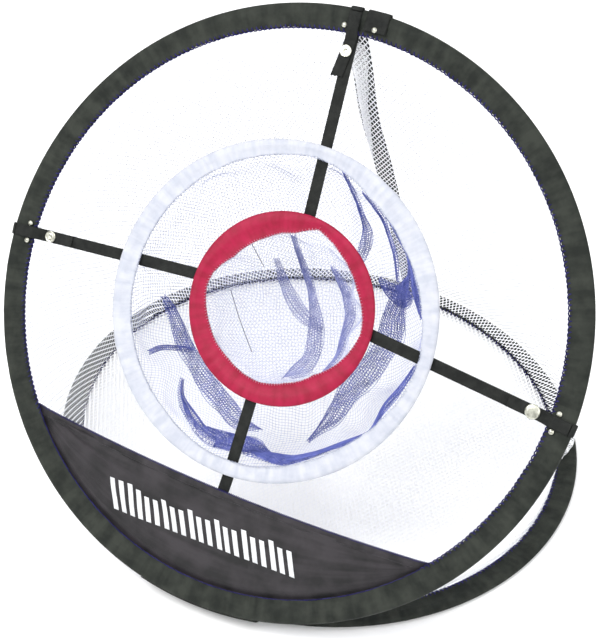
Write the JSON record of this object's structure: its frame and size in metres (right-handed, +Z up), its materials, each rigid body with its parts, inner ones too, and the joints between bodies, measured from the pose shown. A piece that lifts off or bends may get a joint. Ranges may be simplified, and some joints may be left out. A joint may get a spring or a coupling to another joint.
{
  "type": "golf chipping net",
  "caption": "Pop-up chipping net: a leaning hoop hinged to a base hoop carries concentric target rings with net pockets, and net walls catch the balls.",
  "frame": {"origin": "on the ground at the centre of the open net's bounding box", "axes": "+Z up; the opening and the target face -Y and lean back; +X to the right as the player sees it"},
  "size_m": [0.512, 0.5265, 0.4362],
  "materials": {
    "black_sleeve": "woven polyester, dull sheen",
    "panel_fabric": "woven polyester, slight gloss",
    "webbing": "matt woven webbing",
    "white_sleeve": "thin gathered polyester",
    "red_sleeve": "thin gathered polyester",
    "net": "knotless mesh",
    "spring_wire": "drawn spring steel",
    "ferrule": "crimped tube",
    "snap_metal": "nickel plated"
  },
  "bodies": {
    "base": {"base_hoop_sleeve": "black_sleeve", "base_hoop_wire": "spring_wire", "base_wire_ferrule": "ferrule", "floor_net": "net", "catch_net": "net", "rear_stay": "webbing", "stay_loop_base": "webbing", "hinge_tape": "black_sleeve"},
    "front": {"front_hoop_sleeve": "black_sleeve", "front_hoop_wire": "spring_wire", "front_wire_ferrule": "ferrule", "bottom_panel": "panel_fabric", "panel_hem": "panel_fabric", "strap_left": "webbing", "strap_right": "webbing", "strap_top": "webbing", "strap_bottom": "webbing", "snap_stud_left": "snap_metal", "snap_stud_right": "snap_metal", "snap_stud_top": "snap_metal", "rivet_left_1": "snap_metal", "rivet_left_2": "snap_metal", "rivet_right_1": "snap_metal", "rivet_right_2": "snap_metal", "rivet_top_1": "snap_metal", "rivet_top_2": "snap_metal", "middle_ring_sleeve": "white_sleeve", "middle_ring_wire": "spring_wire", "middle_ring_ferrule": "ferrule", "inner_ring_sleeve": "red_sleeve", "inner_ring_wire": "spring_wire", "inner_ring_ferrule": "ferrule", "middle_pocket_net": "net", "inner_pocket_net": "net", "stay_loop_top": "webbing"},
    "tail_left": {"strap_tail_left": "webbing", "snap_cap_left": "snap_metal"},
    "tail_right": {"strap_tail_right": "webbing", "snap_cap_right": "snap_metal"},
    "tail_top": {"strap_tail_top": "webbing", "snap_cap_top": "snap_metal"}
  },
  "joints": [
    {"name": "front_fold", "type": "hinge", "parent": "base", "child": "front", "pos_m": [0, -0.2634, 0.002], "axis": [-1, 0, 0], "range_deg": [0, 54], "stiffness_Nm_per_rad": 2, "springref_deg": -28.65, "deforming": ["catch_net", "rear_stay", "hinge_tape", "middle_pocket_net", "inner_pocket_net"]},
    {"name": "left_tail_open", "type": "hinge", "parent": "front", "child": "tail_left", "pos_m": [-0.251, -0.1202, 0.22881], "axis": [0.0558, -0.5703, -0.8196], "range_deg": [0, 100]},
    {"name": "right_tail_open", "type": "hinge", "parent": "front", "child": "tail_right", "pos_m": [0.25052, -0.12979, 0.21503], "axis": [0.1264, 0.5666, 0.8143], "range_deg": [0, 100]},
    {"name": "top_tail_open", "type": "hinge", "parent": "front", "child": "tail_top", "pos_m": [-0.00686, 0.02243, 0.43381], "axis": [-0.9989, -0.0267, -0.0383], "range_deg": [0, 100]}
  ]
}
